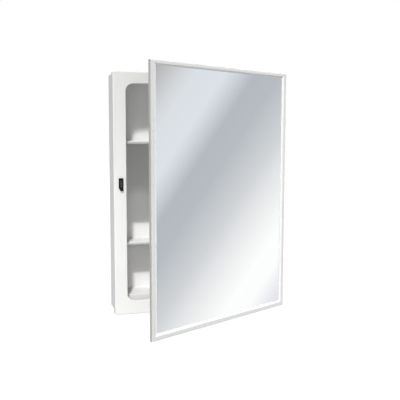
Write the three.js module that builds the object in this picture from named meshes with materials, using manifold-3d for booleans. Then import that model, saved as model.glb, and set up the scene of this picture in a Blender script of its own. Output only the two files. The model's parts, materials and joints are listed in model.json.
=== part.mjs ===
// Medicine cabinet with a mirrored door.
//
// A folded sheet-steel box hangs on the wall. A front pan with a rounded opening covers
// its front edge, three steel shelves cross it, and a framed mirror door hangs on a
// continuous hinge down the right-hand side. A magnetic catch in the left stile holds
// the door shut.
//
// Millimetres. X runs to the right along the front, Y into the wall, Z up. The origin is
// the centre of the back panel's rear face, the face that lies on the wall.

import * as THREE from 'three';
import { mergeVertices } from 'three/addons/utils/BufferGeometryUtils.js';
import Module from 'manifold-3d';

const wasm = await Module();
wasm.setup();

// ---------------------------------------------------------------- driving dimensions
const gap = 0.3; // clearance left between neighbouring pieces
const sheet = 1.0; // steel sheet of the box and the pan
const cutMargin = 5; // how far a cutting solid runs past what it cuts

// front pan
const panWidth = 403;
const panHeight = 550;
const cabinetDepth = 88;
const panReturn = 21; // depth of the folded outer edge
const panCornerRadius = 2.5;
const stileWidth = 29;
const topRailWidth = 26.2;
const bottomRailWidth = 31.4;
const openingRadius = 18;
const openingReturn = 8; // depth of the edge turned in round the opening

// box behind the pan
const boxInsetSide = 4.1;
const boxInsetTop = 1.85;
const boxFrontFlange = 6;
const backFlange = 10;
const wallHoleRadius = 3.25;
const wallHoleX = 172;
const wallHoleZ = 235;

// shelves
const shelfTops = [122, -111, -234]; // height of each shelf's upper face
const shelfNames = ['upper_shelf', 'middle_shelf', 'lower_shelf'];
const shelfSheet = 0.9;
const shelfFront = 24.7; // shelf lip's distance behind the pan's face
const shelfLips = [ // how far each front edge folds down, and how far it tucks back
  { drop: 6.5, tuck: 2.8 },
  { drop: 6.5, tuck: 2.8 },
  { drop: 16, tuck: 0 },
];
const shelfUpstand = 12;
const bracketLength = 42;
const bracketWidth = 12;
const bracketHeight = 13;

// magnetic catch in the left stile
const catchFromEdge = 11; // from the pan's left edge to the catch's left side
const catchWidth = 10;
const catchHeight = 28.4;
const catchCentreZ = 24.4;
const catchStandOff = 4.5; // how far the catch stands out of the stile
const catchDepth = 12; // how far it reaches behind the stile
const catchWall = 2.1;
const catchChamfer = { x: 4.5, z: 7 };
const poleThickness = 1.3;
const magnetRecess = 0.8;

// continuous hinge
const hingeLength = 540;
const knuckleCount = 25;
const knuckleRadius = 2.2;
const pinRadius = 1.15;
const boreRadius = 1.28;
const leafSheet = 0.9;
const leafWidth = 15;
const pinOutboard = 1.5; // pin axis beyond the pan's right edge
const roundSides = 12;

// door
const doorGap = 5; // between the pan's face and the closed door's back
const doorOverhang = 4.2; // door beyond the pan on every side
const doorThickness = 7.8;
const openAngle = 26.5; // degrees the door stands open
const railFaces = { left: 14, top: 9, right: 14, bottom: 14 }; // width seen from the front
const railFlatShare = 0.65; // part of the face that is flat, before the bevel
const railSheet = 0.6;
const railOuterRadius = 2.2;
const railBevelDepth = 2.0;
const railBackFlange = 9;
const fitting = 0.25; // clearance between the layers inside the door
const glassInset = 2.7; // from the door's edge to the glass's edge
const glassThickness = 3;
const padThickness = 0.5;
const doorPanelThickness = 0.5;
const keyThickness = 0.9;
const keyWidth = 4.6;
const keyLeg = 30;
const strikeWidth = 20;
const strikeHeight = 44;
const strikeThickness = 0.8;
const bumperX = -187;
const bumperZ = 252;
const bumperHeight = 4.9;
const bumperRadius = { base: 5, tip: 3.6 };

// ---------------------------------------------------------------- derived places
const frontY = -cabinetDepth;
const pinX = panWidth / 2 + pinOutboard;
const pinY = frontY - doorGap / 2;
const doorWidth = panWidth + 2 * doorOverhang;
const doorHeight = panHeight + 2 * doorOverhang;
const doorBackY = frontY - doorGap;
const doorFrontY = doorBackY - doorThickness;
const boxWidth = panWidth - 2 * boxInsetSide;
const boxHeight = panHeight - 2 * boxInsetTop;
const boxInnerX = boxWidth / 2 - sheet;
const opening = {
  x0: -panWidth / 2 + stileWidth,
  x1: panWidth / 2 - stileWidth,
  z0: -panHeight / 2 + bottomRailWidth,
  z1: panHeight / 2 - topRailWidth,
};

// ---------------------------------------------------------------- materials
function paint(color, roughness, metalness) {
  return new THREE.MeshStandardMaterial({ color, roughness, metalness });
}
const whiteSteel = paint(0xf2f2f0, 0.45, 0.1);
const whiteFrame = paint(0xf5f5f4, 0.3, 0.2);
const silvered = paint(0xc4ccd4, 0.05, 1.0);
const zincPlate = paint(0xb4b6b8, 0.35, 0.9);
const paperPad = paint(0xd8d4cc, 0.9, 0.0);
const blackPlastic = paint(0x17191a, 0.4, 0.0);
const darkIron = paint(0x2a2a2c, 0.5, 0.6);
const softRubber = paint(0xd9d9d6, 0.8, 0.0);

// ---------------------------------------------------------------- joining and cutting
function toManifold(geometry) {
  const bare = geometry.index ? geometry.clone() : geometry;
  bare.deleteAttribute('normal');
  bare.deleteAttribute('uv');
  const merged = mergeVertices(bare, 1e-5);
  return new wasm.Manifold(new wasm.Mesh({
    numProp: 3,
    vertProperties: new Float32Array(merged.attributes.position.array),
    triVerts: new Uint32Array(merged.index.array),
  }));
}

function toGeometry(solid) {
  const mesh = solid.getMesh();
  const geometry = new THREE.BufferGeometry();
  geometry.setAttribute('position', new THREE.BufferAttribute(new Float32Array(mesh.vertProperties), 3));
  geometry.setIndex(new THREE.BufferAttribute(new Uint32Array(mesh.triVerts), 1));
  geometry.computeVertexNormals();
  return geometry;
}

// The first list joined together, less everything in the second list.
function combine(added, removed = []) {
  let solid = toManifold(added[0]);
  for (const geometry of added.slice(1)) solid = solid.add(toManifold(geometry));
  for (const geometry of removed) solid = solid.subtract(toManifold(geometry));
  return toGeometry(solid);
}

// ---------------------------------------------------------------- shapes
function block(x0, x1, y0, y1, z0, z1) {
  const geometry = new THREE.BoxGeometry(x1 - x0, y1 - y0, z1 - z0);
  return geometry.translate((x0 + x1) / 2, (y0 + y1) / 2, (z0 + z1) / 2);
}

function polygon(points) {
  return new THREE.Shape(points.map(([x, y]) => new THREE.Vector2(x, y)));
}

// A rectangle with round corners of radius r.
function roundedRect(x0, x1, z0, z1, r) {
  const outline = new THREE.Shape();
  outline.absarc(x1 - r, z1 - r, r, 0, Math.PI / 2);
  outline.absarc(x0 + r, z1 - r, r, Math.PI / 2, Math.PI);
  outline.absarc(x0 + r, z0 + r, r, Math.PI, 1.5 * Math.PI);
  outline.absarc(x1 - r, z0 + r, r, 1.5 * Math.PI, 2 * Math.PI);
  outline.closePath();
  return outline;
}

// An outline drawn in X and Z, given thickness from y0 to y1.
function slab(outline, y0, y1, curveSegments = 6) {
  const geometry = new THREE.ExtrudeGeometry(outline, { depth: y1 - y0, bevelEnabled: false, curveSegments });
  return geometry.rotateX(Math.PI / 2).translate(0, y1, 0);
}

// An outline drawn in X and Y, given length from z0 to z1.
function bar(outline, z0, z1) {
  const geometry = new THREE.ExtrudeGeometry(outline, { depth: z1 - z0, bevelEnabled: false, curveSegments: 4 });
  return geometry.translate(0, 0, z0);
}

// A rectangular frame of sheet: outer half-sizes, wall width all round.
function frameOutline(halfX, halfZ, wall, radius = 0) {
  const outer = radius > 0
    ? roundedRect(-halfX, halfX, -halfZ, halfZ, radius)
    : polygon([[-halfX, -halfZ], [halfX, -halfZ], [halfX, halfZ], [-halfX, halfZ]]);
  const x = halfX - wall;
  const z = halfZ - wall;
  outer.holes.push(polygon([[-x, -z], [-x, z], [x, z], [x, -z]]));
  return outer;
}

// A round bar along Z at (x, y).
function roundBar(radius, x, y, z0, z1, sides = roundSides) {
  const geometry = new THREE.CylinderGeometry(radius, radius, z1 - z0, sides);
  return geometry.rotateX(Math.PI / 2).translate(x, y, (z0 + z1) / 2);
}

const cabinet = new THREE.Group();
const group = new THREE.Group();
group.add(cabinet);

function place(parent, name, geometry, material) {
  const mesh = new THREE.Mesh(geometry, material);
  mesh.name = name;
  parent.add(mesh);
  return mesh;
}

// ---------------------------------------------------------------- catch, in the left stile
const catchX0 = -panWidth / 2 + catchFromEdge;
const catchX1 = catchX0 + catchWidth;
const catchZ0 = catchCentreZ - catchHeight / 2;
const catchZ1 = catchCentreZ + catchHeight / 2;
const catchTipY = frontY - catchStandOff;
const catchNeck = 0.6; // the body behind the rim is this much smaller on every side
const catchPocket = {
  x0: catchX0 + catchWall,
  x1: catchX1 - catchWall,
  z0: catchZ0 + catchWall + 2.5,
  z1: catchZ1 - catchWall - 2.5,
  y1: frontY + catchDepth - catchWall,
};

function catchHousing() {
  const rim = polygon([
    [catchX0 + catchChamfer.x, catchZ0],
    [catchX1, catchZ0],
    [catchX1, catchZ1],
    [catchX0, catchZ1],
    [catchX0, catchZ0 + catchChamfer.z],
  ]);
  const head = slab(rim, catchTipY, frontY - gap);
  const body = block(catchX0 + catchNeck, catchX1 - catchNeck, frontY - gap - 1, frontY + catchDepth,
    catchZ0 + catchChamfer.z, catchZ1 - 2);
  const pocket = block(catchPocket.x0, catchPocket.x1, catchTipY - cutMargin, catchPocket.y1,
    catchPocket.z0 + catchChamfer.z / 2, catchPocket.z1);
  return combine([head, body], [pocket]);
}

function catchInsert(x0, x1, y0) {
  return block(x0, x1, y0, catchPocket.y1 - gap,
    catchPocket.z0 + catchChamfer.z / 2 + gap, catchPocket.z1 - gap);
}

place(cabinet, 'catch_housing', catchHousing(), blackPlastic);
place(cabinet, 'catch_pole_left',
  catchInsert(catchPocket.x0 + gap, catchPocket.x0 + gap + poleThickness, catchTipY), darkIron);
place(cabinet, 'catch_pole_right',
  catchInsert(catchPocket.x1 - gap - poleThickness, catchPocket.x1 - gap, catchTipY), darkIron);
place(cabinet, 'catch_magnet',
  catchInsert(catchPocket.x0 + 2 * gap + poleThickness, catchPocket.x1 - 2 * gap - poleThickness,
    catchTipY + magnetRecess), darkIron);

// ---------------------------------------------------------------- front pan
function frontPan() {
  const halfX = panWidth / 2;
  const halfZ = panHeight / 2;
  const { x0, x1, z0, z1 } = opening;
  const face = roundedRect(-halfX, halfX, -halfZ, halfZ, panCornerRadius);
  face.holes.push(roundedRect(x0, x1, z0, z1, openingRadius));
  const collar = roundedRect(x0 - sheet, x1 + sheet, z0 - sheet, z1 + sheet, openingRadius + sheet);
  collar.holes.push(roundedRect(x0, x1, z0, z1, openingRadius));
  const rearLips = [-1, 1].map((side) => {
    const ends = [side * (boxWidth / 2 + gap), side * (halfX - sheet / 2)];
    return block(Math.min(...ends), Math.max(...ends), frontY + panReturn - sheet, frontY + panReturn,
      -halfZ + sheet / 2, halfZ - sheet / 2);
  });
  const cutOut = block(catchX0 + catchNeck - gap, catchX1 - catchNeck + gap,
    frontY - cutMargin, frontY + sheet + cutMargin,
    catchZ0 + catchChamfer.z - gap, catchZ1 - 2 + gap);
  return combine([
    slab(face, frontY, frontY + sheet),
    slab(frameOutline(halfX, halfZ, sheet, panCornerRadius), frontY, frontY + panReturn),
    slab(collar, frontY, frontY + openingReturn),
    ...rearLips,
  ], [cutOut]);
}
place(cabinet, 'front_pan', frontPan(), whiteSteel);

// ---------------------------------------------------------------- box and back panel
function bodyWrapper() {
  const y0 = frontY + sheet + gap;
  return combine([
    slab(frameOutline(boxWidth / 2, boxHeight / 2, sheet), y0, -gap),
    slab(frameOutline(boxWidth / 2, boxHeight / 2, boxFrontFlange), y0, y0 + sheet),
  ]);
}
place(cabinet, 'body_wrapper', bodyWrapper(), whiteSteel);

function backPanel() {
  const halfX = boxInnerX - gap;
  const halfZ = boxHeight / 2 - sheet - gap;
  const holes = [];
  for (const x of [-wallHoleX, wallHoleX]) {
    for (const z of [-wallHoleZ, wallHoleZ]) {
      const hole = new THREE.CylinderGeometry(wallHoleRadius, wallHoleRadius, 4 * sheet, roundSides);
      holes.push(hole.translate(x, 0, z));
    }
  }
  return combine([
    block(-halfX, halfX, -sheet, 0, -halfZ, halfZ),
    slab(frameOutline(halfX, halfZ, sheet), -backFlange, 0),
  ], holes);
}
place(cabinet, 'back_panel', backPanel(), whiteSteel);

// ---------------------------------------------------------------- shelves and their brackets
const shelfHalfX = boxInnerX - 2 * gap - sheet - gap;
const shelfY0 = frontY + shelfFront;
const shelfY1 = -sheet - gap;

function shelf(top, lip) {
  const section = polygon([
    [shelfY0 + lip.tuck, top - lip.drop],
    [shelfY0 + lip.tuck + shelfSheet, top - lip.drop],
    [shelfY0 + shelfSheet, top - shelfSheet],
    [shelfY1, top - shelfSheet],
    [shelfY1, top + shelfUpstand],
    [shelfY1 - shelfSheet, top + shelfUpstand],
    [shelfY1 - shelfSheet, top],
    [shelfY0, top],
  ]);
  const length = new THREE.ExtrudeGeometry(section, { depth: 2 * shelfHalfX, bevelEnabled: false });
  // the section's two axes become Y and Z, its length runs along X
  return length.applyMatrix4(new THREE.Matrix4().makeBasis(
    new THREE.Vector3(0, 1, 0), new THREE.Vector3(0, 0, 1), new THREE.Vector3(1, 0, 0),
  )).translate(-shelfHalfX, 0, 0);
}

// An angle that carries one end of a shelf: side is -1 on the left, 1 on the right.
function shelfBracket(top, side) {
  const wallX = boxInnerX - gap;
  const topZ = top - shelfSheet - gap;
  const section = polygon([
    [side * wallX, topZ],
    [side * (wallX - bracketWidth), topZ],
    [side * (wallX - bracketWidth), topZ - sheet],
    [side * (wallX - sheet), topZ - sheet],
    [side * (wallX - sheet), topZ - bracketHeight],
    [side * wallX, topZ - bracketHeight],
  ]);
  const middle = (shelfY0 + shelfY1) / 2;
  return slab(section, middle - bracketLength / 2, middle + bracketLength / 2);
}

shelfTops.forEach((top, index) => {
  const name = shelfNames[index];
  place(cabinet, name, shelf(top, shelfLips[index]), whiteSteel);
  place(cabinet, `${name}_bracket_left`, shelfBracket(top, -1), whiteSteel);
  place(cabinet, `${name}_bracket_right`, shelfBracket(top, 1), whiteSteel);
});

// ---------------------------------------------------------------- continuous hinge
// One leaf: a strip plus every second knuckle. first is 0 or 1. y0..y1 is the strip.
function hingeLeaf(first, y0, y1) {
  const pitch = hingeLength / knuckleCount;
  const x0 = pinX - leafWidth;
  const stripEnd = pinX - knuckleRadius - gap;
  const strip = block(x0, stripEnd, y0, y1, -hingeLength / 2, hingeLength / 2);
  const knuckles = [];
  for (let i = first; i < knuckleCount; i += 2) {
    const z0 = -hingeLength / 2 + i * pitch + gap / 2;
    const z1 = z0 + pitch - gap;
    knuckles.push(block(stripEnd - 1, pinX, y0, y1, z0, z1));
    knuckles.push(roundBar(knuckleRadius, pinX, pinY, z0, z1));
  }
  const bore = roundBar(boreRadius, pinX, pinY, -hingeLength, hingeLength);
  return combine([strip, ...knuckles], [bore]);
}
const bodyLeafY1 = pinY + knuckleRadius * Math.cos(Math.PI / roundSides);
const doorLeafY0 = pinY - knuckleRadius * Math.cos(Math.PI / roundSides);
place(cabinet, 'hinge_leaf_body', hingeLeaf(0, bodyLeafY1 - leafSheet, bodyLeafY1), whiteSteel);
place(cabinet, 'hinge_pin', roundBar(pinRadius, pinX, pinY, -hingeLength / 2 - 1, hingeLength / 2 + 1),
  zincPlate);

// ---------------------------------------------------------------- door
// The door is drawn shut and swung open about the pin.
const swing = new THREE.Group();
swing.position.set(pinX, pinY, 0);
swing.rotation.z = THREE.MathUtils.degToRad(openAngle);
const door = new THREE.Group();
door.position.set(-pinX, -pinY, 0);
swing.add(door);
group.add(swing);

place(door, 'hinge_leaf_door', hingeLeaf(1, doorLeafY0, doorLeafY0 + leafSheet), whiteSteel);

// Section of the folded frame rail: u inward from the door's edge, v back from its front.
function railSection(face) {
  const flat = face * railFlatShare;
  const steps = 4;
  const outer = [];
  const inner = [];
  for (let i = 0; i <= steps; i += 1) {
    const a = (Math.PI / 2) * (i / steps);
    outer.push([railOuterRadius * (1 - Math.cos(a)), railOuterRadius * (1 - Math.sin(a))]);
    const r = railOuterRadius - railSheet;
    inner.unshift([railOuterRadius - r * Math.cos(a), railOuterRadius - r * Math.sin(a)]);
  }
  return [
    ...outer,
    [flat, 0],
    [face, railBevelDepth],
    [face - 0.2, railBevelDepth + railSheet * 0.6],
    [flat - 0.2, railSheet],
    ...inner,
    [railSheet, doorThickness - railSheet],
    [railBackFlange, doorThickness - railSheet],
    [railBackFlange, doorThickness],
    [0, doorThickness],
  ];
}

// A rail drawn on the left, then turned about Y to its own side of the door. Each mitre
// runs from the door's corner to where this rail's inner edge meets its neighbour's.
function doorRail(length, distance, turn, face, neighbours) {
  const half = length / 2;
  const rail = bar(polygon(railSection(face)), -half, half);
  const reach = face + cutMargin;
  const mitres = [-1, 1].map((end) => {
    const slope = (end < 0 ? neighbours[0] : neighbours[1]) / face;
    const corner = half - gap / 2;
    return slab(polygon([
      [-cutMargin, end * (corner + cutMargin * slope)],
      [reach, end * (corner - reach * slope)],
      [reach, end * (half + 2 * reach)],
      [-cutMargin, end * (half + 2 * reach)],
    ]), -cutMargin, doorThickness + cutMargin);
  });
  return combine([rail], mitres)
    .translate(-distance, doorFrontY, 0)
    .rotateY(THREE.MathUtils.degToRad(turn));
}
const { left: leftFace, top: topFace, right: rightFace, bottom: bottomFace } = railFaces;
place(door, 'door_rail_left',
  doorRail(doorHeight, doorWidth / 2, 0, leftFace, [bottomFace, topFace]), whiteFrame);
place(door, 'door_rail_top',
  doorRail(doorWidth, doorHeight / 2, 90, topFace, [leftFace, rightFace]), whiteFrame);
place(door, 'door_rail_right',
  doorRail(doorHeight, doorWidth / 2, 180, rightFace, [topFace, bottomFace]), whiteFrame);
place(door, 'door_rail_bottom',
  doorRail(doorWidth, doorHeight / 2, 270, bottomFace, [rightFace, leftFace]), whiteFrame);

// The layers that the rails clamp, from the front: glass, pad and steel panel.
const glassY = doorFrontY + railBevelDepth + railSheet * 0.6 + fitting;
const padY = glassY + glassThickness + fitting;
const doorPanelY = padY + padThickness + fitting;
function doorLayer(y, thickness) {
  const halfX = doorWidth / 2 - glassInset;
  const halfZ = doorHeight / 2 - glassInset;
  return block(-halfX, halfX, y, y + thickness, -halfZ, halfZ);
}
place(door, 'mirror_glass', doorLayer(glassY, glassThickness), silvered);
place(door, 'mirror_backing_pad', doorLayer(padY, padThickness), paperPad);
place(door, 'door_back_panel', doorLayer(doorPanelY, doorPanelThickness), whiteSteel);

// A bent strip in each corner that joins two rails: sx and sz choose the corner.
function cornerKey(sx, sz) {
  const x = doorWidth / 2 - railSheet - gap;
  const z = doorHeight / 2 - railSheet - gap;
  const middle = (doorFrontY + doorBackY) / 2;
  const outline = polygon([
    [sx * x, sz * z],
    [sx * (x - keyLeg), sz * z],
    [sx * (x - keyLeg), sz * (z - keyThickness)],
    [sx * (x - keyThickness), sz * (z - keyThickness)],
    [sx * (x - keyThickness), sz * (z - keyLeg)],
    [sx * x, sz * (z - keyLeg)],
  ]);
  return slab(outline, middle - keyWidth / 2 + 0.4, middle + keyWidth / 2 + 0.4);
}
for (const [side, sx] of [['left', -1], ['right', 1]]) {
  for (const [level, sz] of [['top', 1], ['bottom', -1]]) {
    place(door, `corner_key_${level}_${side}`, cornerKey(sx, sz), zincPlate);
  }
}

// Steel plate that the catch pulls on, on the back of the door.
const panelBackY = doorPanelY + doorPanelThickness;
const strikeX = (catchX0 + catchX1) / 2;
place(door, 'strike_plate', block(strikeX - strikeWidth / 2 + 1, strikeX + strikeWidth / 2 + 1,
  panelBackY + fitting, panelBackY + fitting + strikeThickness,
  catchCentreZ - strikeHeight / 2, catchCentreZ + strikeHeight / 2), zincPlate);

// Rubber buttons that meet the stile when the door shuts.
function bumper(z) {
  const geometry = new THREE.CylinderGeometry(bumperRadius.tip, bumperRadius.base, bumperHeight, 16);
  return geometry.translate(bumperX, panelBackY + fitting + bumperHeight / 2, z);
}
place(door, 'door_bumper_top', bumper(bumperZ), softRubber);
place(door, 'door_bumper_bottom', bumper(-bumperZ), softRubber);

export default group;
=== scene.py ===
# %% [markdown]
# # A steel medicine cabinet with a mirror door
#
# This lesson dresses a finished engineering model of a wall-hung medicine cabinet. The
# model comes from CAD with every sheet folded square and every surface in facets, which
# is right for checking fits and motion and wrong for looking at. Here each visible part
# is made again as a smooth surface with real bends, and gets a finish built from nodes.
#
# Two ideas carry the whole file. A folded sheet is a **profile carried round a path**, so
# a handful of outline functions gives all the steel. And the door is drawn shut, where
# its sides are parallel to the axes, and swung open at the end by one rotation.

import json
import math

import bmesh
import bpy
import numpy as np
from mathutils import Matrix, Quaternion, Vector


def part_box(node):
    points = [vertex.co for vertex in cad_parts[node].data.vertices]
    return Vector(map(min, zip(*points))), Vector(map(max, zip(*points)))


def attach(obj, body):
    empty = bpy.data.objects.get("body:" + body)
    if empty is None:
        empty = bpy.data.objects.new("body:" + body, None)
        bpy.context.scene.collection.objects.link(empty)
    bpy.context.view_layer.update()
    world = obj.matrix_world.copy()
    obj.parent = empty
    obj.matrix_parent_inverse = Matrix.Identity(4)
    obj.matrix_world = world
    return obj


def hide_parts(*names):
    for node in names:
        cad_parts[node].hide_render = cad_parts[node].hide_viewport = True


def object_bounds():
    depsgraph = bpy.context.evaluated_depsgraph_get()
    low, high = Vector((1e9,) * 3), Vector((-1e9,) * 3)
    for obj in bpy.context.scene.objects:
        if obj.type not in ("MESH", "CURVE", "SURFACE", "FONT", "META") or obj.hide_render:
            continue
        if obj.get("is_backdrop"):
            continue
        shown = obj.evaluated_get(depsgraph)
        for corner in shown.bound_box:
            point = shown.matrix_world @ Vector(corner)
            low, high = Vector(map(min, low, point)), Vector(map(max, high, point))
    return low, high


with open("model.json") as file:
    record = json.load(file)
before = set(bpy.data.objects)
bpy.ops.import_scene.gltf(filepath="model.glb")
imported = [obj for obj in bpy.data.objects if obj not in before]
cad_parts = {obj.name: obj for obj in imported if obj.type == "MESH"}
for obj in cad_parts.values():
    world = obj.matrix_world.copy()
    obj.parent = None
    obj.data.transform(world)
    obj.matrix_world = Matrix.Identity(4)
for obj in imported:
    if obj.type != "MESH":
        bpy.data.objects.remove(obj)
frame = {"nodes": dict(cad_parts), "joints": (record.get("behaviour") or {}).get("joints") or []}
cad_low, cad_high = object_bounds()
MM = 0.001
print("cabinet box in mm:", [round(v / MM) for v in (cad_high - cad_low)])

# %% [markdown]
# ## The camera
#
# A product camera stands a little to the left of the cabinet and just above its middle,
# about two and a half cabinet heights away. Its place is written in heights of the front
# pan, measured from the pan's lower left front corner, so it would follow the cabinet if
# the size changed. A normal lens at that distance keeps the door's edges from spreading.

# %% Camera
pan_low, pan_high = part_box("front_pan")
pan_height = pan_high.z - pan_low.z
EYE_IN_PAN_HEIGHTS = Vector((-0.3879, -2.4922, 0.7372))
CAMERA_YAW = math.radians(16.83)  # turned from straight ahead towards the right
CAMERA_PITCH = math.radians(5.81)  # looking down
CAMERA_ROLL = math.radians(0.13)
LENS_MM = 55.5

forward = Vector((
    math.sin(CAMERA_YAW) * math.cos(CAMERA_PITCH),
    math.cos(CAMERA_YAW) * math.cos(CAMERA_PITCH),
    -math.sin(CAMERA_PITCH),
))
camera_data = bpy.data.cameras.new("product_camera")
camera_data.lens = LENS_MM
camera_data.sensor_width = 36.0
camera = bpy.data.objects.new("product_camera", camera_data)
camera.location = pan_low + EYE_IN_PAN_HEIGHTS * pan_height
camera.rotation_mode = "QUATERNION"
camera.rotation_quaternion = (
    forward.to_track_quat("-Z", "Y") @ Quaternion((0, 0, 1), CAMERA_ROLL)
)
bpy.context.scene.collection.objects.link(camera)
bpy.context.scene.camera = camera
print("camera at", [round(v, 3) for v in camera.location])

# %% [markdown]
# ## Where the door is
#
# The door stands open about its hinge pin, so its own straight edges run at an angle. To
# draw it simply, each door point is worked out with the door shut and then turned about
# the pin. The turn that shuts the door is the lower end of the hinge's range, and turning
# the CAD vertices back by it gives every door part's true width and height.

# %% The swing of the door
hinge = frame["joints"][0]
PIN = np.array(hinge["pos_m"])
OPEN = -math.radians(hinge["range_deg"][0])


def swing(points, angle):
    """Points turned about the pin, which is upright: x and y turn by the angle, z stays."""
    c, s = math.cos(angle), math.sin(angle)
    turned = points - PIN
    x = turned[..., 0] * c - turned[..., 1] * s
    y = turned[..., 0] * s + turned[..., 1] * c
    return np.stack([x, y, turned[..., 2]], axis=-1) + PIN


def shut_box(node):
    """Lowest and highest corner of a door part with the door turned back to shut."""
    mesh = frame["nodes"][node].data
    co = np.zeros(len(mesh.vertices) * 3)
    mesh.vertices.foreach_get("co", co)
    shut = swing(co.reshape(-1, 3), -OPEN)
    return Vector(shut.min(axis=0)), Vector(shut.max(axis=0))


rail_low, _ = shut_box("door_rail_left")
_, rail_high = shut_box("door_rail_right")
door_half_x = (rail_high.x - rail_low.x) / 2
door_half_z = (rail_high.z - rail_low.z) / 2
door_front, door_back = rail_low.y, rail_high.y
print("door", [round(2 * v / MM, 1) for v in (door_half_x, door_half_z)],
      "open", round(math.degrees(OPEN), 1))

# %% [markdown]
# ## Outlines and bends
#
# Sheet metal is drawn as a bent line with round corners. `fillet` swaps each corner of a
# line for an arc, and adds one extra point just beyond each end of the arc. Those extra
# points matter for shading: a smooth-shaded surface blends its normals across each face,
# so a wide flat face next to a bend would look curved unless the blend is kept to a
# narrow strip. Bevel modifiers can do this too, but here the bends have known radii.

# %% Fillet helper
def fillet(corners, radius, steps=5, closed=False, guard=0.35):
    """A bent line with round corners, as an (n, 2) array.

    At each corner half is half the angle between the sides. The arc starts and stops
    radius over tan(half) along them, about a middle radius over sin(half) away on their
    bisector, and turns by pi less the whole angle. One guard point stands beyond each end
    of the arc, guard times the radius further on."""
    corners = np.asarray(corners, float)
    n = len(corners)
    radii = np.broadcast_to(np.asarray(radius, float), (n,))
    line = []
    for i in range(n):
        ends = not closed and i in (0, n - 1)
        if ends or radii[i] <= 0:
            line.append(corners[i:i + 1])
            continue
        here, before, after = corners[i], corners[i - 1], corners[(i + 1) % n]
        a = (before - here) / np.linalg.norm(before - here)
        b = (after - here) / np.linalg.norm(after - here)
        half = math.acos(np.clip(a @ b, -1, 1)) / 2
        reach = radii[i] / math.tan(half)
        middle = here + (a + b) / np.linalg.norm(a + b) * radii[i] / math.sin(half)
        start, stop = here + a * reach, here + b * reach
        t = np.linspace(0, 1, steps + 1)[:, None]
        spoke = start - middle
        side = (stop - middle) - spoke * (((stop - middle) @ spoke) / (spoke @ spoke))
        side *= np.linalg.norm(spoke) / np.linalg.norm(side)
        turn = math.pi - 2 * half
        arc = middle + spoke * np.cos(t * turn) + side * np.sin(t * turn)
        line.append(np.vstack([start + a * guard * radii[i], arc, stop + b * guard * radii[i]]))
    return np.vstack(line)


def offset(line, distance):
    """An open line moved sideways: each point goes along its normal, to the left of travel.

    The normal is the mean of the two neighbouring segments' normals, stretched by one over
    the cosine of half the turn between them, so the gap stays even through the bends."""
    step = np.diff(line, axis=0)
    step /= np.linalg.norm(step, axis=1)[:, None]
    normals = np.stack([-step[:, 1], step[:, 0]], axis=1)
    first = np.vstack([normals[:1], normals])
    second = np.vstack([normals, normals[-1:]])
    mean = first + second
    mean /= np.linalg.norm(mean, axis=1)[:, None]
    stretch = 1 / np.clip((mean * first).sum(axis=1), 0.5, 1)
    return line + mean * (stretch * distance)[:, None]


def sheet_ring(line, thickness):
    """The closed outline of a bent sheet: out along the line, back along its offset."""
    return np.vstack([line, offset(line, thickness)[::-1]])


print("a right angle with a 2 mm bend has", len(fillet([[0, 0], [9, 0], [9, 9]], 2)), "points")

# %% [markdown]
# ## From outlines to meshes
#
# Every surface in this file is a grid of points, a row for each station along a path and
# a column for each point of the profile. `grid_faces` joins neighbouring rows and columns
# with quads, wrapping round where the path or the profile closes. `make_piece` puts the
# arrays into a Blender mesh, turns its faces outwards, hangs the piece on its body, hides
# the CAD parts it stands for and gives it its finish.

# %% Mesh helpers
def grid_faces(rows, columns, wrap_rows, wrap_columns):
    """Quads of a grid numbered row by row: corner (i, j), its right, diagonal and lower."""
    i = np.arange(rows if wrap_rows else rows - 1)
    j = np.arange(columns if wrap_columns else columns - 1)
    i, j = np.meshgrid(i, j, indexing="ij")
    i2, j2 = (i + 1) % rows, (j + 1) % columns
    corners = [i * columns + j, i * columns + j2, i2 * columns + j2, i2 * columns + j]
    return np.stack(corners, axis=-1).reshape(-1, 4)


PIECES = {"cabinet": [], "door": []}  # the finished pieces on each body
SAME_PLACE = 1e-7  # metres; points closer than this are one


def make_piece(name, points, faces, body, slot, replaces=(), swung=False):
    """A finished piece: arrays into a mesh, faces outwards, placed on its body."""
    points = np.asarray(points, float).reshape(-1, 3)
    if swung:
        points = swing(points, OPEN)
    mesh = bpy.data.meshes.new(name)
    mesh.from_pydata(points.tolist(), [], [list(map(int, f)) for f in faces])
    shell = bmesh.new()
    shell.from_mesh(mesh)
    bmesh.ops.remove_doubles(shell, verts=shell.verts, dist=SAME_PLACE)
    bmesh.ops.recalc_face_normals(shell, faces=shell.faces)
    shell.to_mesh(mesh)
    shell.free()
    mesh.shade_smooth()
    piece = bpy.data.objects.new(name, mesh)
    bpy.context.scene.collection.objects.link(piece)
    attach(piece, body)
    if replaces:
        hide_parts(*replaces)
    piece.data.materials.append(FINISH[slot])
    PIECES[body].append(piece)
    return piece


def sharpen(piece, degrees=40):
    """Edges that turn by more than the angle are shaded as edges, the rest as bends."""
    shell = bmesh.new()
    shell.from_mesh(piece.data)
    for edge in shell.edges:
        edge.smooth = len(edge.link_faces) == 2 and edge.calc_face_angle() < math.radians(degrees)
    shell.to_mesh(piece.data)
    shell.free()
    return piece


print("a 4 by 3 open grid has", len(grid_faces(4, 3, False, False)), "faces")
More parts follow.
